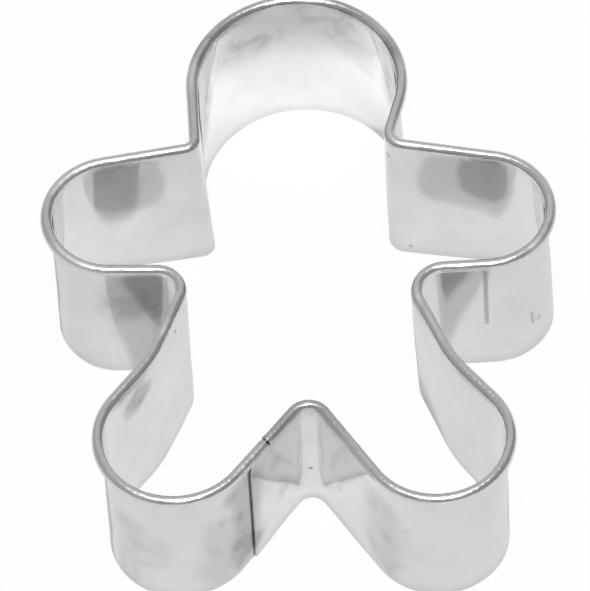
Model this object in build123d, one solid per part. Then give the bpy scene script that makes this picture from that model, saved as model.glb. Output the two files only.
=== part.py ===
from build123d import *
import os
from collections import namedtuple
from math import acos, asin, atan2, cos, degrees, pi, radians, sin, sqrt, tan

# Gingerbread-man cookie cutter, bent from one strip of tinned steel.
# It stands on its cutting edge, with the curled rim on top and the feet towards -Y.
# Lengths are in millimetres.

# Strip
sheet = 0.3                     # thickness of the tinplate
depth = 25.4                    # cutting edge to the top of the rim
rim_radius = 0.8                # outside radius of the curled rim
rim_lip_gap = 0.1               # the curl's lip stops this far short of the wall
curl_flats = 12                 # flats in a full turn of the curl

# Outline of the strip, as the line of the rim's centre wrapped round pegs.
# Head, hands and feet have their pegs inside the man, and the other bends outside.
head_radius = 14.9
hand_radius = 9.4
hand_reach = 35.2               # from the head's middle line to the tip of a hand
underarm_drop = 0.2             # from a hand's lowest point to the top of the armpit's peg
body_half_width = 16.3          # from the head's middle line to the side, at the armpits
leg_length = 24.4               # from the centre of an armpit's peg down to the foot's
waist_press = 1.2               # how far each side is pressed in, halfway down
waist_bend_share = 0.25         # part of the side's length that this bend takes

# Each side was bent a little differently.
left_cheek = 8.7                # straight between the bends of the head and the neck
left_neck_radius = 1.6
left_neck_drop = 9.5            # from the head's centre down to the neck's peg
left_shoulder_drop = 1.8        # from the neck's lowest point to the hand's highest
left_armpit_radius = 3.5
left_foot_radius = 10.6
left_foot_out = 17.0            # from the head's middle line to the foot's centre

right_cheek = 4.8
right_neck_radius = 2.2
right_neck_drop = 9.2
right_shoulder_drop = 2.3
right_armpit_radius = 4.0
right_foot_radius = 10.1
right_foot_out = 18.5

crotch_radius = 2.5
crotch_rise = 2.7               # above the middle of the two feet's centres
crotch_shift = 0.4              # from that middle, towards the right foot

# Lap seam, on the inside of the left leg
rim_butt_gap = 1.0              # the two rim ends stop this far apart
lap_clearance = 0.05            # between the two plies
outer_tongue_length = 3.3       # from the butt gap's middle, towards the foot
outer_tongue_notch = 5.0        # rim and wall cut away above it, to clear the other end's rim
inner_tongue_length = 5.2       # from the butt gap's middle, towards the crotch
inner_tongue_notch = 1.8        # only the rim cut away above it
joggle_radius = 0.4             # bend where a tongue steps across to its side

# Spot welds through the lap
weld_radius = 1.0
weld_bite = 0.12                # how deep a nugget reaches into each ply
dimple_radius = 1.3             # electrode mark on the outside of each ply
dimple_depth = 0.05
upper_weld_along = 2.1          # from the butt gap's middle
upper_weld_height = 16.7
lower_weld_along = 3.6
lower_weld_height = 7.9

Peg = namedtuple("Peg", "x y radius")


def inner_peg(x, y, radius):
    """Peg inside the outline: the strip wraps round it leftwards."""
    return Peg(x, y, radius)


def outer_peg(x, y, radius):
    """Peg outside the outline: the strip turns back round it, rightwards."""
    return Peg(x, y, -radius)


def mirrored(peg):
    """The same peg on the other side of the head's middle line."""
    return Peg(-peg.x, peg.y, peg.radius)


def run_between(peg, next_peg):
    """Straight run of the strip that touches two pegs: its heading, start and end."""
    span = Vector(next_peg.x - peg.x, next_peg.y - peg.y)
    lean = asin((next_peg.radius - peg.radius) / span.length)
    heading = atan2(span.Y, span.X) - lean
    left = Vector(-sin(heading), cos(heading))
    start = Vector(peg.x, peg.y) - left * peg.radius
    end = Vector(next_peg.x, next_peg.y) - left * next_peg.radius
    return heading, start, end


def bend_angle(heading, next_heading, peg):
    """Turn of the strip round one peg, in degrees: positive to the left."""
    if peg.radius > 0:
        return degrees((next_heading - heading) % (2 * pi))
    return -degrees((heading - next_heading) % (2 * pi))


def waist_peg(foot, armpit):
    """Outer peg of the right waist: it presses the side in, halfway from the foot to the armpit."""
    heading, start, end = run_between(foot, armpit)
    half_side = (end - start).length / 2
    corner_depth = waist_press / (1 - waist_bend_share / 2)
    radius = waist_bend_share * half_side / tan(atan2(corner_depth, half_side))
    outwards = Vector(sin(heading), -cos(heading))
    centre = (start + end) * 0.5 + outwards * (radius - waist_press)
    return outer_peg(centre.X, centre.Y, radius)


def side_pegs(cheek, neck_radius, neck_drop, shoulder_drop, armpit_radius, foot_radius, foot_out):
    """Pegs of one side from the foot up to the neck, measured from the head's centre."""
    neck_distance = sqrt((head_radius + neck_radius) ** 2 + cheek ** 2)
    neck_out = sqrt(neck_distance ** 2 - neck_drop ** 2)
    hand_y = -neck_drop - neck_radius - shoulder_drop - hand_radius
    armpit_y = hand_y - hand_radius - underarm_drop - armpit_radius
    foot = inner_peg(foot_out, armpit_y - leg_length, foot_radius)
    armpit = outer_peg(body_half_width + armpit_radius, armpit_y, armpit_radius)
    hand = inner_peg(hand_reach - hand_radius, hand_y, hand_radius)
    neck = outer_peg(neck_out, -neck_drop, neck_radius)
    return [foot, waist_peg(foot, armpit), armpit, hand, neck]


def all_pegs():
    """Every peg in the order that the strip meets them: anticlockwise from the crotch, seen from above."""
    right = side_pegs(right_cheek, right_neck_radius, right_neck_drop, right_shoulder_drop,
                      right_armpit_radius, right_foot_radius, right_foot_out)
    left = side_pegs(left_cheek, left_neck_radius, left_neck_drop, left_shoulder_drop,
                     left_armpit_radius, left_foot_radius, left_foot_out)
    left = [mirrored(peg) for peg in left]
    right_foot, left_foot = right[0], left[0]
    crotch_x = (right_foot.x + left_foot.x) / 2 + crotch_shift
    crotch_y = (right_foot.y + left_foot.y) / 2 + crotch_rise
    head = inner_peg(0, 0, head_radius)
    return [outer_peg(crotch_x, crotch_y, crotch_radius), *right, head, *reversed(left)]


def rim_line():
    """Edges of the rim's centre line, from one rim end round to the other."""
    pegs = all_pegs()
    runs = [run_between(pegs[i - 1], pegs[i]) for i in range(len(pegs))]
    runs.append(runs[0])
    heading, seam_start, seam_end = runs[0]
    ahead = Vector(cos(heading), sin(heading))
    butt = (seam_start + seam_end) * 0.5
    edges = [Line(butt + ahead * (rim_butt_gap / 2), seam_end)]
    for peg, run, next_run in zip(pegs, runs, runs[1:]):
        tangent = Vector(cos(run[0]), sin(run[0]))
        turn = bend_angle(run[0], next_run[0], peg)
        edges.append(JernArc(start=run[2], tangent=tangent, radius=abs(peg.radius), arc_size=turn))
        edges.append(Line(next_run[1], next_run[2]))
    edges[-1] = Line(seam_start, butt - ahead * (rim_butt_gap / 2))
    return edges, butt, ahead


def curl_points(radius, turn):
    """Corners of one face of the curl, from the wall over the top to the lip, in short flats."""
    flats = round(curl_flats * turn / 360)
    angles = [radians(180 - turn * i / flats) for i in range(flats + 1)]
    return [(radius * cos(angle), depth - rim_radius + radius * sin(angle)) for angle in angles]


def strip_section():
    """Section of the strip, X outwards from the rim's centre and Y up: a wall and a curled rim."""
    lip_turn = 180 + degrees(acos(-(rim_radius - sheet - rim_lip_gap) / rim_radius))
    outside = curl_points(rim_radius, lip_turn)
    inside = curl_points(rim_radius - sheet, lip_turn)
    cutting_edge = [(sheet - rim_radius, 0), (-rim_radius, 0)]
    return make_face(Polyline(*outside, *reversed(inside), *cutting_edge, close=True))


def tongue(length, notch, side):
    """Flat end of the strip at the lap: it steps inwards (side 1) or outwards (side -1)."""
    step = sheet + lap_clearance
    half_gap = rim_butt_gap / 2
    slope = atan2(step, rim_butt_gap)
    corner = half_gap - joggle_radius * tan(slope / 2)
    near = (-side * rim_butt_gap, wall_line)
    step_start = (-side * corner, wall_line)
    step_end = (side * corner, wall_line + side * step)
    far = (side * length, wall_line + side * step)
    line = FilletPolyline(near, step_start, step_end, far, radius=joggle_radius)
    return lap_plane * extrude(trace(line, sheet), depth - notch)


def on_lap(along, height):
    """Plane between the two plies, facing into the man, at one spot weld."""
    between_plies = wall_line + (sheet + lap_clearance) / 2
    return lap_plane * Plane(origin=(along, between_plies, height), x_dir=(1, 0, 0), z_dir=(0, 1, 0))


def nugget():
    """Spot weld: a disc seated half its height in each ply."""
    return Cylinder(weld_radius, lap_clearance + 2 * weld_bite)


def dimples():
    """Shallow hollows that the electrodes leave on the two outer faces of a lap."""
    ball_radius = (dimple_radius ** 2 + dimple_depth ** 2) / (2 * dimple_depth)
    lap_thickness = 2 * sheet + lap_clearance
    reach = lap_thickness / 2 + ball_radius - dimple_depth
    ball = Sphere(ball_radius)
    spot = Cylinder(dimple_radius, lap_thickness)
    return Part() + [Pos(0, 0, reach) * ball & spot, Pos(0, 0, -reach) * ball & spot]


edges, butt, ahead = rim_line()
line_box = Wire(edges).bounding_box()
centre = Vector(line_box.center().X, line_box.center().Y)
rim_path = Wire(edges).moved(Location(centre * -1))

# Along the lap X runs towards the crotch and Y into the man, from the middle of the butt gap.
lap_plane = Plane(origin=butt - centre, x_dir=ahead, z_dir=(0, 0, 1))
wall_line = rim_radius - sheet / 2

section_plane = Plane(origin=rim_path @ 0, x_dir=-lap_plane.y_dir, z_dir=-ahead)
band = sweep(section_plane * strip_section(), path=rim_path)
band += tongue(inner_tongue_length, inner_tongue_notch, 1)
band += tongue(outer_tongue_length, outer_tongue_notch, -1)

spots = [(upper_weld_along, upper_weld_height), (lower_weld_along, lower_weld_height)]
nuggets = []
for along, height in spots:
    spot = on_lap(along, height)
    band -= spot * nugget()
    band -= spot * dimples()
    nuggets.append(spot * nugget())

os.makedirs("parts", exist_ok=True)
export_step(band, "parts/cutter_band.step")
export_step(Compound(children=nuggets), "parts/spot_welds.step")
print(f"outline {rim_path.length:.1f} mm, band {band.volume:.0f} mm3 in {len(band.solids())} solid")
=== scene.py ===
# %% [markdown]
# A gingerbread-man cookie cutter in tinned steel, dressed for a product picture.
# The real one is a single strip, bent to the outline and joined in a lap inside one leg.
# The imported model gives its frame: the strip's box, and the disc-shaped spot welds inside the lap.
# This script keeps those places and builds the strip again as a finer sheet, because bright metal
# shows every flat of a coarse mesh in its reflections.

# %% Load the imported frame
from collections import namedtuple
from math import asin, atan2, cos, exp, pi, radians, sin, sqrt, tan

import bpy
from mathutils import Matrix, Vector, noise


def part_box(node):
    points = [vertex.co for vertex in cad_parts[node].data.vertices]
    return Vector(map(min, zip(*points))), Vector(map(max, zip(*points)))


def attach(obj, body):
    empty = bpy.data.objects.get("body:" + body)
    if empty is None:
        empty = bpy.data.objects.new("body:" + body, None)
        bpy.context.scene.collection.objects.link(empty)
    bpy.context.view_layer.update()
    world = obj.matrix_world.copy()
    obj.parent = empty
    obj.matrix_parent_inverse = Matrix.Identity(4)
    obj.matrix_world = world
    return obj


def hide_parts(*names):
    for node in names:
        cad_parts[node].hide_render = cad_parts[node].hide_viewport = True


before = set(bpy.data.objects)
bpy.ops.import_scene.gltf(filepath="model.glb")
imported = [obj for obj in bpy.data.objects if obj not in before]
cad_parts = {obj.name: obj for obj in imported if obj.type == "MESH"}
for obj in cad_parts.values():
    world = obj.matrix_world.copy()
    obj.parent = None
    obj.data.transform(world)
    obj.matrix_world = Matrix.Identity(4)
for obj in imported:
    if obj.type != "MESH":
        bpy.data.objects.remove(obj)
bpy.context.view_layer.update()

# %% [markdown]
# The strip's upper edge is curled outwards over itself, so that the hand presses on a round bead,
# and its lower edge is left as sheared, to cut the dough.
# It could be a curve with a bevel, which is quick, but a bevelled curve has the same section all
# along. This strip has a flat tongue at each end, and a wall that leans, so its mesh is laid out in
# code from two things: an outline seen from above, and a section.
# Lengths are in millimetres, as a sheet-metal worker writes them, and become metres in the mesh.
# The bead is a hair thinner than the model's, so that its fine facets stay inside the model's box.
# Everything is measured outwards from the bead's centre, so the wall's own place is a minus number.

# %% Sizes of the strip
MM = 0.001
band_low, band_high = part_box("cutter_band")
depth = (band_high.z - band_low.z) / MM
sheet = 0.3
bead_radius = 0.797
bead_height = depth - bead_radius
curl_turn = radians(300)
wall_out = sheet / 2 - bead_radius
print("strip", round(depth, 2), "mm deep, bead centre at", round(bead_height, 2), "mm")

# %% [markdown]
# Such a strip is bent round pegs. Head, hands and feet have a peg inside the man, and the neck,
# armpits, waist and crotch have one outside. So the outline is a belt pulled round pegs, which needs
# far fewer numbers than a hand-drawn curve, and gives straight runs and true bends by itself.
# There are two belts. One is the bead, which is stiff and keeps the shape that it was bent to. The
# other is the cutting edge, which springs a little after bending, so its bends are rounder or
# tighter, and the wall between the two belts leans. Its sizes are the bead's, each changed a little.

# %% Sizes of the two outlines
Side = namedtuple("Side", "cheek neck_radius neck_drop shoulder_drop hand_radius hand_reach "
                          "armpit_radius leg_length foot_radius foot_out")
Outline = namedtuple("Outline", "head_centre head_radius underarm_drop body_half_width "
                                "waist_press crotch_radius crotch_rise crotch_shift left right")

bead_outline = Outline(
    head_centre=0j, head_radius=14.9, underarm_drop=0.2, body_half_width=16.3, waist_press=1.2,
    crotch_radius=2.5, crotch_rise=2.7, crotch_shift=0.4,
    left=Side(cheek=8.7, neck_radius=1.6, neck_drop=9.5, shoulder_drop=1.8, hand_radius=9.4,
              hand_reach=35.2, armpit_radius=3.5, leg_length=24.4, foot_radius=10.6, foot_out=17.0),
    right=Side(cheek=4.8, neck_radius=2.2, neck_drop=9.2, shoulder_drop=2.3, hand_radius=9.4,
               hand_reach=35.2, armpit_radius=4.0, leg_length=24.4, foot_radius=10.1,
               foot_out=18.5))
edge_outline = Outline(
    head_centre=0.2 - 0.4j, head_radius=15.15, underarm_drop=0.25, body_half_width=16.75,
    waist_press=1.1, crotch_radius=1.55, crotch_rise=4.2, crotch_shift=0.2,
    left=Side(cheek=7.0, neck_radius=1.15, neck_drop=9.6, shoulder_drop=1.75, hand_radius=9.55,
              hand_reach=35.7, armpit_radius=4.05, leg_length=23.5, foot_radius=10.6,
              foot_out=17.4),
    right=Side(cheek=4.1, neck_radius=1.8, neck_drop=9.2, shoulder_drop=2.1, hand_radius=9.4,
               hand_reach=35.9, armpit_radius=3.4, leg_length=24.9, foot_radius=10.25,
               foot_out=18.2))
waist_bend_share = 0.25
print("change of each left size at the edge:",
      [round(edge - bead, 2) for edge, bead in zip(edge_outline.left, bead_outline.left)])

# %% [markdown]
# A point of the plan is one complex number, x + y i, which makes turning and shifting it short to
# write. A peg outside the man has a negative radius. A straight run between two pegs touches both,
# so runs and bends join without a kink.

# %% Runs between pegs
Peg = namedtuple("Peg", "centre radius")


def ahead_of(heading):
    """Step of one unit along a heading."""
    return complex(cos(heading), sin(heading))


def left_of(heading):
    """Step of one unit to the left of a heading."""
    return complex(-sin(heading), cos(heading))


def run_between(peg, next_peg):
    """Heading, start and end of the straight run that touches two pegs."""
    span = next_peg.centre - peg.centre
    heading = atan2(span.imag, span.real) - asin((next_peg.radius - peg.radius) / abs(span))
    left = left_of(heading)
    return heading, peg.centre - left * peg.radius, next_peg.centre - left * next_peg.radius


print("at a heading of 0, ahead is", ahead_of(0), "and left is", left_of(0))

# %% [markdown]
# The pegs are set out from the head downwards, each from the one before, because the hands hang from
# the neck and the feet from the armpits. Each side of a real cutter is bent a little differently, so
# each has its own sizes. The waist is a long, shallow bend, and its peg is worked out from how far
# it presses the side in.

# %% Pegs of one side
def waist_peg(foot, armpit, press):
    """Outer peg that presses the side in, halfway from the foot to the armpit."""
    heading, start, end = run_between(foot, armpit)
    half_side = abs(end - start) / 2
    corner_depth = press / (1 - waist_bend_share / 2)
    radius = waist_bend_share * half_side / tan(atan2(corner_depth, half_side))
    return Peg((start + end) / 2 - left_of(heading) * (radius - press), -radius)


def side_pegs(outline, side):
    """Pegs of one side from the foot up to the neck, measured from the head's centre."""
    neck_distance = sqrt((outline.head_radius + side.neck_radius) ** 2 + side.cheek ** 2)
    neck_out = sqrt(neck_distance ** 2 - side.neck_drop ** 2)
    hand_y = -side.neck_drop - side.neck_radius - side.shoulder_drop - side.hand_radius
    armpit_y = hand_y - side.hand_radius - outline.underarm_drop - side.armpit_radius
    armpit_out = outline.body_half_width + side.armpit_radius
    foot = Peg(complex(side.foot_out, armpit_y - side.leg_length), side.foot_radius)
    armpit = Peg(complex(armpit_out, armpit_y), -side.armpit_radius)
    hand = Peg(complex(side.hand_reach - side.hand_radius, hand_y), side.hand_radius)
    neck = Peg(complex(neck_out, -side.neck_drop), -side.neck_radius)
    return [foot, waist_peg(foot, armpit, outline.waist_press), armpit, hand, neck]


print("radii of the left side's pegs in mm:",
      [round(peg.radius, 1) for peg in side_pegs(bead_outline, bead_outline.left)])

# %% Pegs of an outline
def mirrored(peg):
    """The same peg on the other side of the middle line."""
    return Peg(complex(-peg.centre.real, peg.centre.imag), peg.radius)


def outline_pegs(outline):
    """All pegs, anticlockwise from the crotch, seen from above."""
    right = side_pegs(outline, outline.right)
    left = [mirrored(peg) for peg in side_pegs(outline, outline.left)]
    between_feet = (right[0].centre + left[0].centre) / 2
    crotch = between_feet + complex(outline.crotch_shift, outline.crotch_rise)
    head = Peg(0j, outline.head_radius)
    pegs = [Peg(crotch, -outline.crotch_radius), *right, head, *reversed(left)]
    return [Peg(peg.centre + outline.head_centre, peg.radius) for peg in pegs]


bead_pegs, edge_pegs = outline_pegs(bead_outline), outline_pegs(edge_outline)
print("pegs round the man:", len(bead_pegs))

# %% [markdown]
# A belt is cut at its pegs into straight runs and bends. Each piece gives its length, its turn, and a
# function from a share of the way along it, 0 to 1, to a place and a heading.
# Both belts start and end at the butt, where the two ends of the bead meet, on the run from the left
# foot to the crotch.

# %% Pieces of a belt
BeltPiece = namedtuple("BeltPiece", "length turn place")


def straight(heading, start, end):
    """Straight run as a piece of a belt."""
    return BeltPiece(abs(end - start), 0, lambda share: (start + (end - start) * share, heading))


def bend(peg, heading, turn):
    """Bend round a peg as a piece of a belt."""
    def place(share):
        now = heading + turn * share
        return peg.centre - left_of(now) * peg.radius, now
    return BeltPiece(abs(turn * peg.radius), abs(turn), place)


def belt(pegs, butt):
    """Pieces of the belt round the pegs, from the point nearest the butt round to it again."""
    runs = [run_between(pegs[i - 1], pegs[i]) for i in range(len(pegs))]
    heading, start, end = runs[0]
    ahead = ahead_of(heading)
    cut = start + ahead * ((butt - start) * ahead.conjugate()).real
    pieces = [straight(heading, cut, end)]
    for peg, run, next_run in zip(pegs, runs, runs[1:] + runs[:1]):
        turn = (next_run[0] - run[0] + pi) % (2 * pi) - pi
        if peg.radius > 0 and turn < 0:
            turn += 2 * pi
        pieces += [bend(peg, run[0], turn), straight(*next_run)]
    pieces[-1] = straight(heading, start, cut)
    return pieces


first_run = run_between(bead_pegs[-1], bead_pegs[0])
butt = (first_run[1] + first_run[2]) / 2
bead_belt, edge_belt = belt(bead_pegs, butt), belt(edge_pegs, butt)
outline_length = sum(piece.length for piece in bead_belt)
edge_length = sum(piece.length for piece in edge_belt)
print("bead", round(outline_length, 1), "mm round, cutting edge", round(edge_length, 1), "mm")

# %% [markdown]
# Stations are the places along the strip where the mesh gets a column of points. They are closer
# together in tight bends, where a reflection turns fastest. Each has a place on both belts. The
# outline is then shifted to the middle of the model's box.

# %% Stations along the strip
station_step = 0.5
turn_step = radians(5)

Station = namedtuple("Station", "along bead bead_heading edge edge_heading")


def divided(start, end, parts):
    """The ends of equal parts from start to end, without the start itself."""
    return [start + (end - start) * (i + 1) / parts for i in range(parts)]


stations, passed = [Station(0, *bead_belt[0].place(0), *edge_belt[0].place(0))], 0
for bead_piece, edge_piece in zip(bead_belt, edge_belt):
    parts = max(1, round(bead_piece.length / station_step), round(bead_piece.turn / turn_step))
    for share in divided(0, 1, parts):
        along = passed + bead_piece.length * share
        stations.append(Station(along, *bead_piece.place(share), *edge_piece.place(share)))
    passed += bead_piece.length

xs = [station.bead.real for station in stations]
ys = [station.bead.imag for station in stations]
frame_centre = complex(*((band_low + band_high) / 2 / MM).xy)
plan_shift = frame_centre - complex(min(xs) + max(xs), min(ys) + max(ys)) / 2
print(len(stations), "stations, moved", round(abs(plan_shift), 2), "mm to the frame's middle")

# %% [markdown]
# The two ends of the strip lap below the bead like a handshake: one tongue steps inwards, behind the
# other end's wall, and the other steps outwards, over it. Each stops below the bead that it passes.
# The outer tongue reaches up under that bead, and its corner is cut at a slant, so that it slides in
# without catching. The two beads only meet end to end, at the butt.
# The tongues' stations run on in a straight line past the butt.

# %% Lap of the two ends
butt_gap = 0.5
half_gap = butt_gap / 2
lap_step = sheet + 0.03
inner_tongue_length, inner_tongue_top = 5.2, depth - 1.8
outer_tongue_length, outer_tongue_top = 3.3, depth - 2.6
outer_parts, inner_parts = 16, 21
shortest_step = 0.1


def past_butt(station, reach, along):
    """A station on the straight line through a belt's butt."""
    bead = station.bead + ahead_of(station.bead_heading) * reach
    edge = station.edge + ahead_of(station.edge_heading) * reach
    return Station(along, bead, station.bead_heading, edge, station.edge_heading)


first, last = stations[0], stations[-1]
outer_reach = [-outer_tongue_length] + divided(-outer_tongue_length, half_gap, outer_parts)
inner_reach = [-half_gap] + divided(-half_gap, inner_tongue_length, inner_parts)
kept_from, kept_to = half_gap + shortest_step, outline_length - half_gap - shortest_step
strip = [past_butt(first, reach, reach) for reach in outer_reach]
strip += [station for station in stations if kept_from < station.along < kept_to]
strip += [past_butt(last, reach, outline_length + reach) for reach in inner_reach]
print("strip with its tongues:", len(strip), "stations")

# %% [markdown]
# The plies are a sheet's thickness apart, and they share the step between them along the whole lap,
# so the outside hardly shows where the ends cross. Each weld leaves a shallow dimple on both sides,
# where the electrodes pressed the plies together. Beside the butt the two ends of the bead were
# pushed a little out of line, and the outer tongue's free end springs away from the wall.
# All of these are small offsets of one and the same wall, so they are added up in one function.

# %% Steps, dimples and bead ends at the lap
weld_spots = [(2.1, 16.7), (3.6, 7.9)]
dimple_radius, dimple_depth = 1.3, 0.03
crotch_end_push, foot_end_push, push_reach = -0.30, 0.12, 1.5
push_from, push_rise = 0.75 * depth, 0.2 * depth
end_spring, spring_reach = 0.05, 1.1


def ease(share):
    """0 to 1 with level ends."""
    share = min(1.0, max(0.0, share))
    return share * share * (3 - 2 * share)


def dimple(place, height):
    """0 away from the welds, 1 at the middle of one."""
    nearest = min(abs(complex(place - x, height - y)) for x, y in weld_spots) / dimple_radius
    return max(0.0, 1 - nearest ** 2) ** 2


def end_push(place, height):
    """How far the end of the bead stands out of line, beside the butt."""
    share = ease((place + half_gap) / butt_gap)
    beside = exp(-max(0.0, abs(place) - half_gap) / push_reach)
    push = foot_end_push + (crotch_end_push - foot_end_push) * share
    return push * beside * ease((height - push_from) / push_rise)


def lap_offset(along, height):
    """How far a ply stands outwards from the wall's own line, at the lap."""
    is_inner = along > outline_length / 2
    place = along - outline_length if is_inner else along
    share = ease((place + outer_tongue_length) / (outer_tongue_length + inner_tongue_length))
    pressed = dimple_depth * dimple(place, height)
    offset = lap_step * (1 - share) + end_push(place, height)
    if is_inner:
        return offset - lap_step + pressed
    sprung = end_spring * ease(1 - (place + outer_tongue_length) / spring_reach)
    return offset - pressed + sprung * sin(pi * min(1.0, height / outer_tongue_top)) ** 0.5


print("outer ply stands out", round(lap_offset(-outer_tongue_length, 10), 2), "mm at its end")

# %% [markdown]
# A thin wall that was bent by hand is never quite flat between its bends. These small bows and
# dents are what makes the reflections flow, instead of standing in straight bars. A Displace
# modifier could do it, but it would part the two plies of the lap.
# So the bows are sums of waves that close on themselves round the outline, and the dents are noise
# that goes by the place in the plan: both plies share a place, so they share its bow and its dents.
# One upright crease is pressed into the wall below the right arm.

# %% Bows, dents and a crease
Wave = namedtuple("Wave", "cycles size phase")
edge_waves = [Wave(13, 0.045, 2.1), Wave(23, 0.025, 4.4), Wave(37, 0.012, 1.0)]
belly_waves = [Wave(9, 0.045, 1.3), Wave(17, 0.030, 3.7), Wave(31, 0.016, 0.6)]
edge_power = 1.5
dent_sizes = [(7.0, 0.030), (3.0, 0.010)]
dents_fade = 3
crease_place, crease_width, crease_depth = 25.9 - 3.8j, 0.5, -0.10
crease_from, crease_rise, crease_fade = 7, 5, 2


def wave_sum(waves, along):
    """Sum of waves at a place along the outline."""
    turn = 2 * pi * along / outline_length
    return sum(wave.size * sin(wave.cycles * turn + wave.phase) for wave in waves)


def bow(along, height):
    """How far the wall bows outwards: at its free edge, and halfway up."""
    up = min(1.0, height / bead_height)
    at_edge, halfway = (1 - up) ** edge_power, sin(pi * up) ** 2
    return wave_sum(edge_waves, along) * at_edge + wave_sum(belly_waves, along) * halfway


def dents(point, height):
    """Dents of use and the crease, by the place in the plan. They fade out below the bead."""
    place = Vector((point.real, point.imag, height))
    size = sum(dent_depth * noise.noise(place / dent_width) for dent_width, dent_depth in dent_sizes)
    crease = exp(-(abs(point - crease_place) / crease_width) ** 2)
    crease *= ease((height - crease_from) / crease_rise)
    crease *= ease((bead_height - height) / crease_fade)
    return size * ease((bead_height - height) / dents_fade) + crease_depth * crease


print("bow of the edge every 50 mm:", [round(bow(along, 0), 3) for along in range(0, 300, 50)])

# %% [markdown]
# The sheet is first a surface without thickness: a grid of stations along the strip and rows up the
# wall and round the curl. Two rows lie exactly at the tops of the tongues, so that each tongue can
# end there in a clean edge. The lowest row is a hair above the table, for the softened edge.

# %% Rows of the section
row_step = 0.8
curl_rows = 26
edge_lift = 0.008


def section_rows():
    """Rows as (distance out from the bead's centre, height), and how many are on the wall."""
    marks = [edge_lift, outer_tongue_top, inner_tongue_top, bead_height]
    heights = [edge_lift]
    for low, high in zip(marks, marks[1:]):
        heights += divided(low, high, max(1, round((high - low) / row_step)))
    rows = [(wall_out, height) for height in heights]
    for share in divided(0, 1, curl_rows):
        angle = pi - curl_turn * share
        rows.append((-wall_out * cos(angle), bead_height - wall_out * sin(angle)))
    return rows, len(heights)


rows, wall_rows = section_rows()
print("rows:", wall_rows, "up the wall and", len(rows) - wall_rows, "round the curl")

# %% [markdown]
# Each grid point lies between the two belts. A straight blend by height would make the wall a plain
# slope, but the bead holds the wall upright just below it, so the blend has a power above 1.

# %% A point of the grid
lean_power = 1.25
corner_cut, corner_length = 2.4, 0.9


def cut_share(along):
    """Share of the outer tongue's height that its slanted corner leaves."""
    cut = max(0.0, 1 - (along + outer_tongue_length) / corner_length)
    return 1 - cut * corner_cut / outer_tongue_top


def sheet_point(station, row):
    """Place of one grid point, in metres."""
    out, height = row
    height *= cut_share(station.along)
    wall_height = min(height, bead_height)
    down = (1 - wall_height / bead_height) ** lean_power
    line = station.bead + (station.edge - station.bead) * down
    heading = station.bead_heading + (station.edge_heading - station.bead_heading) * down
    out += bow(station.along % outline_length, wall_height)
    out += lap_offset(station.along, wall_height)
    out += dents(line + plan_shift, wall_height)
    point = line + plan_shift - left_of(heading) * out
    return Vector((point.real, point.imag, height)) * MM


print("first point in mm:", [round(side / MM, 2) for side in sheet_point(strip[0], rows[0])])

# %% Mesh of the sheet
near = 0.01


def top_row(along):
    """The last row of a station: the lip of the curl, or a tongue's top."""
    if along < half_gap - near:
        limit = outer_tongue_top
    elif along > outline_length - half_gap + near:
        limit = inner_tongue_top
    else:
        return len(rows) - 1
    return max(i for i in range(wall_rows) if rows[i][1] <= limit + near)


def sheet_mesh(name):
    """Mesh of the whole strip, without thickness."""
    points, columns, faces = [], [], []
    for station in strip:
        column = range(len(points), len(points) + top_row(station.along) + 1)
        points += [sheet_point(station, rows[i]) for i in range(len(column))]
        columns.append(column)
    for here, there in zip(columns, columns[1:]):
        for i in range(min(len(here), len(there)) - 1):
            faces.append((here[i], there[i], there[i + 1], here[i + 1]))
    mesh = bpy.data.meshes.new(name)
    mesh.from_pydata(points, [], faces)
    mesh.validate()
    mesh.shade_smooth()
    return mesh


band = bpy.data.objects.new("tinplate_band", sheet_mesh("tinplate_band"))
bpy.context.scene.collection.objects.link(band)
print("sheet:", len(band.data.vertices), "points,", len(band.data.polygons), "faces")

# %% [markdown]
# Solidify gives the sheet its thickness, half to each side, and Bevel takes the sharpness off the
# sheared edges, which is where thin metal catches a line of light. Both could be done in the mesh
# code, but modifiers keep the mesh short and can be changed at any time.
# Solidify also gives the two faces different materials, because the inside and the outside of the
# cutter are the same metal with different marks. The curl turns the inside face out over the bead.
# The piece replaces the model's coarse band, and takes its place in the frame.

# %% Thickness and softened edges
thicken = band.modifiers.new("thickness", "SOLIDIFY")
thicken.thickness = sheet * MM
thicken.offset = 0
thicken.material_offset = 1
soften = band.modifiers.new("sheared_edges", "BEVEL")
soften.width = 0.06 * MM
soften.segments = 2
soften.limit_method = "ANGLE"
soften.angle_limit = radians(50)
soften.harden_normals = True
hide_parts("cutter_band")
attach(band, "root")
print("modifiers:", [modifier.name for modifier in band.modifiers])

# %% [markdown]
# Tinplate is thin steel with a bright coat of tin. New, it is close to a mirror, but handling leaves
# smudges, rolling leaves a faint grain, and the coat has a few specks. These could be painted on an
# image, but nodes stay sharp at any size and need no unwrapping: the textures are placed by the
# object's own coordinates in metres.
# Each effect is a node group, because both faces of the strip use it, and the welds' steel some of
# them too. A group gives out only a mask, and the shader that it feeds stays in each material.
# First come a few helpers, so that the groups and materials read like sums.

# %% Nodes and wires
def wire(tree, value, socket):
    """Link an output to a socket, or set the socket where the value is plain."""
    if isinstance(value, bpy.types.NodeSocket):
        tree.links.new(value, socket)
    else:
        socket.default_value = value


def add_node(tree, kind, settings=None, **inputs):
    """New node with its settings, and its inputs wired or set by name."""
    node = tree.nodes.new(kind)
    for label, setting in (settings or {}).items():
        setattr(node, label, setting)
    for label, value in inputs.items():
        wire(tree, value, node.inputs[label.replace("_", " ")])
    return node


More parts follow.
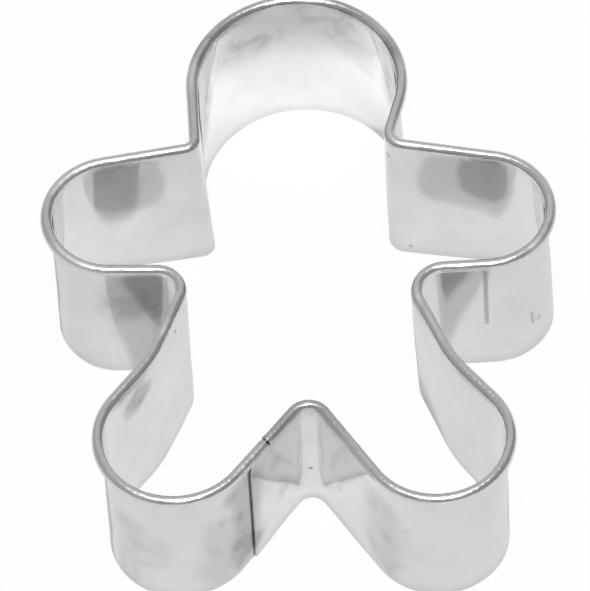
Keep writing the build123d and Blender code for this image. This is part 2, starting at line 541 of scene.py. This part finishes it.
def new_group(name, inputs):
    """Empty node group with named inputs and a mask to put out."""
    group = bpy.data.node_groups.new(name, "ShaderNodeTree")
    for label, default in inputs.items():
        kind = "NodeSocketFloat" if isinstance(default, float) else "NodeSocketVector"
        socket = group.interface.new_socket(label, in_out="INPUT", socket_type=kind)
        if default is not None:
            socket.default_value = default
    group.interface.new_socket("Mask", in_out="OUTPUT", socket_type="NodeSocketFloat")
    given, result = group.nodes.new("NodeGroupInput"), group.nodes.new("NodeGroupOutput")
    return group, given.outputs, result.inputs["Mask"]


def put(tree, group, **values):
    """Mask of a node group placed in a material with its own values."""
    node = add_node(tree, "ShaderNodeGroup", {"node_tree": group}, **values)
    return node.outputs["Mask"]


print("helpers:", [helper.__name__ for helper in (wire, add_node, new_group, put)])

# %% Sums in nodes
def maths(tree, operation, *values):
    """Result of a Math node."""
    node = add_node(tree, "ShaderNodeMath", {"operation": operation})
    for value, socket in zip(values, node.inputs):
        wire(tree, value, socket)
    return node.outputs[0]


def vector_maths(tree, operation, *values):
    """Vector Math node with its inputs wired or set."""
    node = add_node(tree, "ShaderNodeVectorMath", {"operation": operation})
    for value, socket in zip(values, node.inputs):
        wire(tree, value, socket)
    return node


def mapped(tree, value, from_min, from_max, to_min=0.0, to_max=1.0):
    """Value mapped smoothly from one range to another, and held inside it."""
    settings = {"interpolation_type": "SMOOTHSTEP"}
    node = add_node(tree, "ShaderNodeMapRange", settings, Value=value,
                    From_Min=from_min, From_Max=from_max, To_Min=to_min, To_Max=to_max)
    return node.outputs["Result"]


print("helpers:", [helper.__name__ for helper in (maths, vector_maths, mapped)])

# %% [markdown]
# Fingers leave soft, cloudy patches of grease, with clear metal between them. Noise gives clouds
# everywhere, so the mask keeps only its upper part, and lets that rise softly from nothing. The seed
# moves through the noise's fourth dimension, so two smudges in one material don't lie on each other.

# %% Smudges
def smudges_group():
    """Soft cloudy patches, as fingers leave them."""
    group, given, mask = new_group("smudges", {"Place": None, "Scale": 60.0, "Seed": 0.0})
    settings = {"noise_dimensions": "4D"}
    broad = add_node(group, "ShaderNodeTexNoise", settings, Vector=given["Place"],
                     Scale=given["Scale"], W=given["Seed"], Detail=3.0, Roughness=0.55,
                     Distortion=0.6)
    wire(group, mapped(group, broad.outputs["Fac"], 0.42, 0.72), mask)
    return group


smudges = smudges_group()
print("smudges:", len(smudges.nodes), "nodes")

# %% [markdown]
# The mill's rolls leave fine lines along the strip. A Wave texture would give lines too, but all of
# the same kind. Noise squeezed flat in height has lines of many widths, and they follow the strip
# round every bend, because the squeeze is only upright.

# %% Rolling grain
def grain_group():
    """Fine lines along the strip, from the mill's rolls."""
    group, given, mask = new_group("rolling_grain", {"Place": None, "Scale": 90.0})
    squeeze = vector_maths(group, "MULTIPLY", given["Place"], (1, 1, 45))
    lines = add_node(group, "ShaderNodeTexNoise", Vector=squeeze.outputs[0],
                     Scale=given["Scale"], Detail=2.0, Roughness=0.6)
    wire(group, lines.outputs["Fac"], mask)
    return group


rolling_grain = grain_group()
print("rolling grain:", len(rolling_grain.nodes), "nodes")

# %% [markdown]
# A tin coat has a few small dark specks. A Voronoi texture sets one point in every cell of space, and
# gives each cell a colour of its own. That colour is used as a lot: its red decides whether the cell
# keeps its speck, and its green how large the speck is.

# %% Specks
def specks_group():
    """A few small dark specks."""
    inputs = {"Place": None, "Scale": 220.0, "Radius": 0.06, "Share": 0.1}
    group, given, mask = new_group("specks", inputs)
    cells = add_node(group, "ShaderNodeTexVoronoi", Vector=given["Place"], Scale=given["Scale"])
    chance = add_node(group, "ShaderNodeSeparateColor", Color=cells.outputs["Color"])
    kept = maths(group, "LESS_THAN", chance.outputs["Red"], given["Share"])
    size = maths(group, "MULTIPLY", given["Radius"], chance.outputs["Green"])
    inside = maths(group, "LESS_THAN", cells.outputs["Distance"], size)
    wire(group, maths(group, "MULTIPLY", kept, inside), mask)
    return group


specks = specks_group()
print("specks:", len(specks.nodes), "nodes")

# %% [markdown]
# A scuff, a patch of painted shade or the heat of a weld sits at one place, so noise alone can't give
# it. This group measures how far a point is from the line between two ends, as a worker would with a
# ruler: it finds the nearest place on the line, and then the distance to it. Near the line the mask
# is 1, and at the radius it has faded to 0.

# %% A streak from one place to another
def mark_group():
    """A soft streak: 1 along its middle, 0 from the radius on."""
    inputs = {"Place": None, "From": None, "To": None, "Radius": 0.002}
    group, given, mask = new_group("mark", inputs)
    way = vector_maths(group, "SUBTRACT", given["To"], given["From"]).outputs["Vector"]
    offset = vector_maths(group, "SUBTRACT", given["Place"], given["From"]).outputs["Vector"]
    reach = vector_maths(group, "DOT_PRODUCT", offset, way).outputs["Value"]
    whole = vector_maths(group, "DOT_PRODUCT", way, way).outputs["Value"]
    along = add_node(group, "ShaderNodeClamp", Value=maths(group, "DIVIDE", reach, whole))
    nearest = vector_maths(group, "SCALE", way)
    wire(group, along.outputs["Result"], nearest.inputs["Scale"])
    gap = vector_maths(group, "DISTANCE", offset, nearest.outputs["Vector"])
    share = maths(group, "DIVIDE", gap.outputs["Value"], given["Radius"])
    wire(group, mapped(group, share, 1.0, 0.3), mask)
    return group


mark = mark_group()
print("mark:", len(mark.nodes), "nodes")

# %% [markdown]
# Each mark has two ends, a radius and a strength, and is given one by one. The heat of the two welds
# tints both faces. Scuffs are small and sharp, and one dark line runs along the crease. The wide,
# dark patches are painted shade, standing for the shadows on the paper that the walls reflect: at the
# crotch, the lap, the feet, below the left arm, in the head and in the left leg. Two thin streaks
# beside the crotch are painted edges of reflected shadows.

# %% Marks of the lap
Mark = namedtuple("Mark", "start end radius strength")


def streak(start, end, radius, strength):
    """A streak from one place to another. Lengths in millimetres."""
    return Mark([MM * side for side in start], [MM * side for side in end], MM * radius, strength)


def spot(centre, radius, strength):
    """A round mark: a streak that is as good as a point."""
    return streak(centre, (centre[0], centre[1], centre[2] + 0.01), radius, strength)


def on_lap(place, height):
    """A point on the wall at the lap: place along it from the butt, and height."""
    heading = stations[0].bead_heading
    point = butt + plan_shift + ahead_of(heading) * place - left_of(heading) * wall_out
    return point.real, point.imag, height


heat_marks = [spot(on_lap(place, height), 2.3, 0.35) for place, height in weld_spots]
print("heat marks at", [[round(side / MM, 1) for side in heat.start] for heat in heat_marks])

# %% Marks of use and painted shade
# The wide patches below are painted shade: darker colour that stands for the shadows on the paper
# which the walls reflect. The crotch's patch is on both faces.
crotch_painted_shade = streak((-2.5, -29, 25), (3.5, -29, 25), 6.0, 0.50)
outside_scuffs_and_crease_line = [
    spot((0.88, -26.19, 7.9), 0.45, 0.9),                           # in the crotch
    spot((-3.11, -30.0, 8.06), 0.4, 0.6),                           # beside the lower weld
    streak((32.46, -1.33, 6.2), (32.3, -1.4, 8.6), 0.4, 0.5),       # below the right hand
    spot((33.3, -0.4, 6.0), 0.6, 0.5),                              # beside it
    streak((25.95, -3.8, 9.8), (25.8, -3.8, 22.2), 0.5, 0.6)]       # a dark line along the crease
outside_painted_shade = [
    crotch_painted_shade,
    streak((-8.2, -36.9, 4), (-7.9, -36.7, 19), 4.8, 1.15),         # left foot, beside the lap
    streak((-11.6, -40.1, 5), (-10.8, -39.5, 14), 4.5, 0.45),       # left foot, inner bend
    streak((10.4, -38.4, 4), (10.4, -38.4, 16), 5.0, 0.60),         # right foot, inner bend
    streak((-24.6, -38.4, 2), (-23.4, -39.5, 15), 3.2, 0.30),       # left foot, outer bend
    streak((-21.5, -40.7, 7), (-20.4, -41.2, 12), 2.8, 0.20),       # left foot, front
    streak((-24.0, -3.2, 17.0), (-20.5, -3.3, 17.5), 6.5, 0.60),    # below the left arm
    streak((-3.2, -30.2, 11.3), (-0.7, -26.7, 4.3), 1.0, 0.35),     # painted edge of a reflected shadow, left of the crotch
    streak((2.6, -26.9, 4.0), (7.8, -34.2, 18.3), 1.0, 0.35)]       # painted edge of a reflected shadow, right of the crotch
inside_scuffs = [
    spot((12.69, 17.3, 21.6), 0.7, 0.6),                            # right of the neck, high up
    spot((15.46, 15.82, 1.6), 0.5, 0.6)]                            # right of the neck, low down
inside_painted_shade = [
    crotch_painted_shade,
    streak((-8.8, 38.6, 20.5), (7.6, 39.8, 20.5), 8.5, 0.75),       # top of the head
    streak((-13.9, 30.5, 10), (-12.8, 34.0, 24), 4.2, 0.95),        # left of the head
    streak((13.8, 31, 10), (13.0, 33.6, 23.5), 4.0, 0.85),          # right of the head
    streak((-21.9, -21.9, 21.8), (-23.5, -24.0, 19.8), 2.8, 0.90)]  # left leg
print("marks outside:", len(outside_scuffs_and_crease_line + outside_painted_shade),
      "and inside:", len(inside_scuffs + inside_painted_shade))

# %% [markdown]
# Marks that overlap don't add up: the strongest one shows.
# A patch of painted shade with an even edge looks printed. Shifting the place by a little noise,
# before the mark is measured, gives it a ragged edge. It is also a little fainter where the finger
# smudges are thin. Three masks go by height alone: the bare steel of the cut edge, the painted
# contact shade in the strip above it, darker towards the paper, and the bead.

# %% Marks with ragged edges
def strongest(tree, masks):
    """The largest of several masks at each place."""
    mask, *others = masks
    for other in others:
        mask = maths(tree, "MAXIMUM", mask, other)
    return mask


def all_marks(tree, place, marks):
    """The strongest of several marks."""
    masks = []
    for one in marks:
        here = put(tree, mark, Place=place, From=one.start, To=one.end, Radius=one.radius)
        masks.append(maths(tree, "MULTIPLY", here, one.strength))
    return strongest(tree, masks)


def ragged(tree, place, scale, size):
    """The place, shifted a little here and there."""
    cloud = add_node(tree, "ShaderNodeTexNoise", Vector=place, Scale=scale, Detail=2.0)
    level = vector_maths(tree, "SUBTRACT", cloud.outputs["Color"], (0.5, 0.5, 0.5))
    shift = vector_maths(tree, "MULTIPLY", level.outputs["Vector"], (size, size, size))
    return vector_maths(tree, "ADD", place, shift.outputs["Vector"]).outputs["Vector"]


print("helpers:", [helper.__name__ for helper in (strongest, all_marks, ragged)])

# %% Masks of tinplate
Masks = namedtuple("Masks", "cloud touch grain speck heat scuff stain cut dull on_bead worn")
Rise = namedtuple("Rise", "nothing_at full_at")
cut_edge = Rise(0.10, 0.02)
# Painted contact shade: darker towards the paper, over the lowest 2.4 mm of the wall.
contact_shade_strip = Rise(2.4, 0.0)
bead_top = Rise(depth - 1.9, depth - 1.5)


def by_height(tree, place, rise):
    """Mask that rises from nothing to full between two heights, given in millimetres."""
    height = add_node(tree, "ShaderNodeSeparateXYZ", Vector=place).outputs["Z"]
    return mapped(tree, height, rise.nothing_at * MM, rise.full_at * MM)


def tin_masks(tree, place, scuff_marks, painted_shade_marks):
    """Every mask that a face of the strip needs."""
    touch = put(tree, smudges, Place=place, Scale=230.0, Seed=8.0)
    # Painted shade: the wide patches of reflected shadow, laid into the colour with ragged edges.
    stain = all_marks(tree, ragged(tree, place, 150.0, 4 * MM), painted_shade_marks)
    return Masks(
        cloud=put(tree, smudges, Place=place, Scale=75.0, Seed=3.0),
        touch=touch,
        grain=put(tree, rolling_grain, Place=place, Scale=110.0),
        speck=put(tree, specks, Place=place, Scale=170.0, Radius=0.07, Share=0.12),
        heat=all_marks(tree, place, heat_marks),
        scuff=all_marks(tree, place, scuff_marks),
        stain=maths(tree, "MULTIPLY", stain, mapped(tree, touch, 0.0, 1.0, 0.6, 1.0)),
        cut=by_height(tree, place, cut_edge),
        dull=by_height(tree, place, contact_shade_strip),
        on_bead=by_height(tree, place, bead_top),
        worn=put(tree, smudges, Place=place, Scale=130.0, Seed=5.0))


print("masks of tinplate:", ", ".join(Masks._fields))

# %% [markdown]
# The colour is laid on in coats, from the bright tin up to the dark specks and the bare steel of the
# cut edge. A metal's colour is what it reflects, so a smudge, and the painted shade too, is simply a
# darker grey.
# Roughness decides how soft the reflections are. A clean sheet has very little, and each effect adds
# its own. The bead has more, because every hand and every drawer rubs it.
# The relief is far smaller than the mesh could show, so it is a Bump: the sheet's ripple, the grain,
# and on the bead the small knocks that break up its bright line.

# %% Coats of colour
def blended(tree, share, under, over):
    """Colour between two colours."""
    node = add_node(tree, "ShaderNodeMix", {"data_type": "RGBA"})
    colour_sockets = {0: share, 6: under, 7: over}
    for number, value in colour_sockets.items():
        wire(tree, value, node.inputs[number])
    return node.outputs[2]


def grey(value, blue=0.0):
    """A grey as a colour, a little bluer if wanted."""
    return (value, value, value + blue, 1)


bright_tin = grey(0.79)


def tin_colour(tree, masks):
    """Coats of grey over the bright tin: each a mask, its strength and its grey."""
    bare = strongest(tree, [masks.speck, maths(tree, "MULTIPLY", masks.cut, 0.4)])
    # The painted shade patches and the painted contact shade at the foot of the wall are coats of
    # darker grey here.
    coats = [(masks.cloud, 0.5, grey(0.70)), (masks.touch, 0.25, grey(0.62)),
             (masks.stain, 1.0, grey(0.36)), (masks.dull, 0.35, grey(0.45)),
             (masks.heat, 1.0, grey(0.45, 0.01)), (masks.scuff, 1.0, grey(0.30)),
             (bare, 1.0, grey(0.25))]
    colour = bright_tin
    for mask, strength, over in coats:
        colour = blended(tree, maths(tree, "MULTIPLY", mask, strength), colour, over)
    return colour


print("bright tin reflects", bright_tin[:3])

# %% Gloss and relief
relief_height = 0.004


def tin_roughness(tree, masks):
    """Clean sheet, and what each effect adds to its roughness."""
    rough = mapped(tree, masks.cloud, 0.0, 1.0, 0.05, 0.11)
    wear = maths(tree, "MULTIPLY", masks.on_bead, mapped(tree, masks.worn, 0.0, 1.0, 0.06, 0.34))
    marked = strongest(tree, [masks.heat, masks.scuff])
    for mask, size in ((masks.touch, 0.03), (masks.grain, 0.02), (marked, 0.2), (wear, 1.0)):
        rough = maths(tree, "ADD", rough, maths(tree, "MULTIPLY", mask, size))
    return rough


def tin_relief(tree, place, masks):
    """Normal of the rippled sheet and the knocked bead."""
    ripple = add_node(tree, "ShaderNodeTexNoise", Vector=place, Scale=330.0, Detail=1.0)
    knocks = add_node(tree, "ShaderNodeTexNoise", Vector=place, Scale=1500.0, Detail=3.0)
    knock = mapped(tree, knocks.outputs["Fac"], 0.2, 0.8, -3.0, 3.0)
    relief = maths(tree, "ADD", ripple.outputs["Fac"], maths(tree, "MULTIPLY", masks.grain, 0.04))
    relief = maths(tree, "ADD", relief, maths(tree, "MULTIPLY", masks.on_bead, knock))
    bump = add_node(tree, "ShaderNodeBump", Strength=1.0, Distance=relief_height * MM,
                    Height=relief)
    return bump.outputs["Normal"]


print("the sheet's ripple is", relief_height, "mm high")

# %% Tinplate on both faces
def new_metal(name):
    """New metallic material: itself, its nodes, its shader, and the place on the object."""
    material = bpy.data.materials.new(name)
    material.use_nodes = True
    tree = material.node_tree
    shader = tree.nodes["Principled BSDF"]
    shader.inputs["Metallic"].default_value = 1.0
    place = add_node(tree, "ShaderNodeTexCoord").outputs["Object"]
    return material, tree, shader.inputs, place


def tinplate(name, scuff_marks, painted_shade_marks):
    """Bright tinned steel, a little smudged and with painted shade, for one face of the strip."""
    material, tree, finish, place = new_metal(name)
    masks = tin_masks(tree, place, scuff_marks, painted_shade_marks)
    wire(tree, tin_colour(tree, masks), finish["Base Color"])
    wire(tree, tin_roughness(tree, masks), finish["Roughness"])
    wire(tree, tin_relief(tree, place, masks), finish["Normal"])
    return material


band.data.materials.append(tinplate("tinplate_outside", outside_scuffs_and_crease_line, outside_painted_shade))
band.data.materials.append(tinplate("tinplate_inside", inside_scuffs, inside_painted_shade))
print("nodes of each face:", [len(face.node_tree.nodes) for face in band.data.materials])

# %% [markdown]
# A spot weld's nugget is steel that melted and set again between the plies. It is the model's own
# solid, hidden inside the lap, and keeps its shape, because nothing finer would ever be seen. Its
# steel is grey and matt, with the same smudges and specks as the tinplate at other values.

# %% Weld steel
def weld_steel():
    """Grey, matt steel of a spot weld."""
    material, tree, finish, place = new_metal("weld_steel")
    cloud = put(tree, smudges, Place=place, Scale=900.0, Seed=1.0)
    speck = put(tree, specks, Place=place, Scale=2500.0, Radius=0.3, Share=0.4)
    colour = blended(tree, cloud, grey(0.42, 0.01), grey(0.30))
    bump = add_node(tree, "ShaderNodeBump", Strength=0.6, Distance=0.01 * MM, Height=cloud)
    wire(tree, blended(tree, speck, colour, grey(0.12)), finish["Base Color"])
    wire(tree, mapped(tree, cloud, 0.0, 1.0, 0.35, 0.55), finish["Roughness"])
    wire(tree, bump.outputs["Normal"], finish["Normal"])
    return material


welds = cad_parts["spot_welds"]
welds.data.materials.clear()
welds.data.materials.append(weld_steel())

# %% [markdown]
# The cutter stands on pale paper in a small studio. The camera looks down, so every upright wall
# reflects only the paper, and the shapes on the walls are the lamps' light and shadows on it,
# together with the painted shade in the metal's colour.
# The camera itself has to see the paper almost white. More light would do that, but it would bleach
# the metal too. So Light Path's Is Camera Ray turns the paper into a plain glow, which keeps a
# little of the shadow. For glossy and transmitted rays that glow is far weaker, so that the metal
# still reflects the shadows.

# %% Share of the glow
scene = bpy.context.scene


def glow_share(tree, camera_share, reflected_share):
    """Share of its glow that a surface shows a ray: none to a diffuse one, which gathers light."""
    ray = tree.nodes.new("ShaderNodeLightPath").outputs
    reflected = maths(tree, "MAXIMUM", ray["Is Glossy Ray"], ray["Is Transmission Ray"])
    seen = maths(tree, "MULTIPLY", ray["Is Camera Ray"], camera_share)
    return maths(tree, "MAXIMUM", seen, maths(tree, "MULTIPLY", reflected, reflected_share))


# %% Paper
camera_glow, reflected_glow = 0.96, 0.06
floor_half = 3


def bare_material(name):
    """Material without any shader yet."""
    material = bpy.data.materials.new(name)
    material.use_nodes = True
    material.node_tree.nodes.clear()
    return material, material.node_tree


def paper_material():
    """White paper, which glows for the camera."""
    material, tree = bare_material("paper")
    fibres = add_node(tree, "ShaderNodeTexNoise", Scale=900.0, Detail=3.0)
    colour = blended(tree, fibres.outputs["Fac"], grey(0.89), grey(0.91))
    matt = add_node(tree, "ShaderNodeBsdfDiffuse", Color=colour)
    glow = add_node(tree, "ShaderNodeEmission", Strength=1.0)
    share = glow_share(tree, camera_glow, reflected_glow)
    mix = add_node(tree, "ShaderNodeMixShader", Fac=share)
    wire(tree, matt.outputs[0], mix.inputs[1])
    wire(tree, glow.outputs[0], mix.inputs[2])
    add_node(tree, "ShaderNodeOutputMaterial", Surface=mix.outputs[0])
    return material


def panel(name, corners, material):
    """Flat panel of the studio, which isn't part of the cutter."""
    mesh = bpy.data.meshes.new(name)
    mesh.from_pydata(corners, [], [(0, 1, 2, 3)])
    mesh.materials.append(material)
    piece = bpy.data.objects.new(name, mesh)
    scene.collection.objects.link(piece)
    return piece


floor_corners = [(x * floor_half, y * floor_half, 0)
                 for x, y in ((-1, -1), (1, -1), (1, 1), (-1, 1))]
floor = panel("floor", floor_corners, paper_material())
print("paper:", [round(side) for side in floor.dimensions[:2]], "m")

# %% [markdown]
# Only the curled bead looks up, and it would be a plain white line under a white sky. A photographer
# stands cards round a shiny thing, to give its rounded edges dark and light lines. Here grey cards
# stand on all four sides and another hangs above, the one at the back a little paler than the rest.
# They are there for reflections alone: the camera looks through them, and they light nothing, so
# that the lamps decide the shadows.

# %% Cards
card_distance, card_height = 0.8, 1.5
side_cards = [("front_card", 0, 0.34), ("left_card", 90, 0.42),
              ("back_card", 180, 0.55), ("right_card", 270, 0.30)]
ceiling_half, ceiling_tone = 1, 0.45


def card(name, corners, tone):
    """Evenly lit card of one tone, for reflections only."""
    material, tree = bare_material(name)
    glow = add_node(tree, "ShaderNodeEmission", Color=grey(tone), Strength=1.0)
    add_node(tree, "ShaderNodeOutputMaterial", Surface=glow.outputs[0])
    piece = panel(name, corners, material)
    piece.visible_camera = piece.visible_diffuse = False


def side_corners(azimuth):
    """Corners of an upright card: azimuth 0 is towards the feet, 90 towards the left hand."""
    turn = Matrix.Rotation(-radians(azimuth), 3, "Z")
    half = card_distance
    low_and_high = [(-half, 0), (half, 0), (half, card_height), (-half, card_height)]
    return [turn @ Vector((x, -half, z)) for x, z in low_and_high]


for name, azimuth, tone in side_cards:
    card(name, side_corners(azimuth), tone)
ceiling_corners = [(x * ceiling_half, y * ceiling_half, card_height)
                   for x, y in ((-1, 1), (1, 1), (1, -1), (-1, -1))]
card("ceiling_card", ceiling_corners, ceiling_tone)
print("cards:", [name for name, azimuth, tone in side_cards] + ["ceiling_card"])

# %% [markdown]
# A wide softbox overhead fills the shadows and puts the bright line on the bead. Two small lamps
# stand high on the side of the feet. Mirrored in the walls, their crisp shadows on the paper are the
# grey patches in the arms, and where two shadows overlap the patch is darkest.
# A lamp's light is a share: with light 1 it would by itself show white paper as white.

# %% Softboxes
def hang(lamp, aim, azimuth, elevation, distance):
    """Hang a lamp at one of the cards' azimuths, turned to what it lights."""
    a, e = radians(azimuth), radians(elevation)
    back = Vector((-sin(a) * cos(e), -cos(a) * cos(e), sin(e)))
    holder = bpy.data.objects.new(lamp.name, lamp)
    holder.location = aim + back * distance
    holder.rotation_euler = back.to_track_quat("Z", "Y").to_euler()
    scene.collection.objects.link(holder)


softbox_distance = 1.2


def softbox(name, azimuth, elevation, shape, size, light):
    """Area lamp turned to the cutter."""
    lamp = bpy.data.lights.new(name, "AREA")
    lamp.shape = shape
    lamp.size = size
    lamp.energy = light * (pi * softbox_distance) ** 2
    hang(lamp, Vector(), azimuth, elevation, softbox_distance)


softbox("overhead_softbox", 0, 88, "SQUARE", 0.82, 0.17)
softbox("key_lamp", 5, 72, "DISK", 0.055, 0.26)
softbox("right_lamp", -25, 67, "DISK", 0.055, 0.29)
print("softboxes hang", softbox_distance, "m away")

# %% [markdown]
# The lower half of the head's wall reflects the paper just in front of it, and it is the brightest
# place on the cutter. Two snoots make it: spot lamps with a narrow tube, which each light a small
# round pool on the paper inside the head and touch nothing else.

# %% Snoots
snoot_distance, snoot_elevation, pool_radius, snoot_light = 1.0, 86, 8.5 * MM, 0.31
pools = [("left_snoot", -6.0, 41.5), ("right_snoot", 6.5, 41.5)]

for name, x, y in pools:
    lamp = bpy.data.lights.new(name, "SPOT")
    lamp.spot_size = 2 * atan2(pool_radius, snoot_distance)
    lamp.spot_blend = 0.3
    lamp.shadow_soft_size = 0.01
    lamp.energy = snoot_light * (2 * pi * snoot_distance) ** 2
    hang(lamp, Vector((x, y, 0)) * MM, 0, snoot_elevation, snoot_distance)
print("pools of light:", [name for name, x, y in pools])

# %% [markdown]
# The world is white for the camera and in reflections. For the light that things receive it is
# faint, so that the shadows stay.

# %% Sky
sky_light = 0.18

world = bpy.data.worlds.new("studio")
scene.world = world
world.use_nodes = True
sky = world.node_tree
background = sky.nodes["Background"]
background.inputs["Color"].default_value = (1, 1, 1, 1)
wire(sky, maths(sky, "MAXIMUM", glow_share(sky, 1.0, 1.0), sky_light), background.inputs["Strength"])
print("sky lights things with", sky_light)

# %% [markdown]
# The camera stands almost straight in front of the feet and looks down steeply, through a long lens
# that hardly makes the near side larger than the far one. Its focal length is given in pixels of the
# picture, because that is how a camera is worked out from a picture.

# %% Camera
azimuth, elevation, roll = 2.59, 54.55, 3.73
aim = Vector((-0.9, -0.2, 12.7)) * MM
distance = 843 * MM
focal_pixels, long_side = 6000, 591

camera_data = bpy.data.cameras.new("camera")
camera = bpy.data.objects.new("camera", camera_data)
scene.collection.objects.link(camera)
back = Vector((sin(radians(azimuth)) * cos(radians(elevation)),
               -cos(radians(azimuth)) * cos(radians(elevation)), sin(radians(elevation))))
camera.location = aim + back * distance
turn = back.to_track_quat("Z", "Y").to_matrix() @ Matrix.Rotation(radians(-roll), 3, "Z")
camera.rotation_euler = turn.to_euler()
camera_data.sensor_width = 36
camera_data.lens = camera_data.sensor_width * focal_pixels / long_side
scene.camera = camera
scene.view_settings.view_transform = "Standard"
print("lens", round(camera_data.lens), "mm,", round(distance / MM), "mm from the cutter")
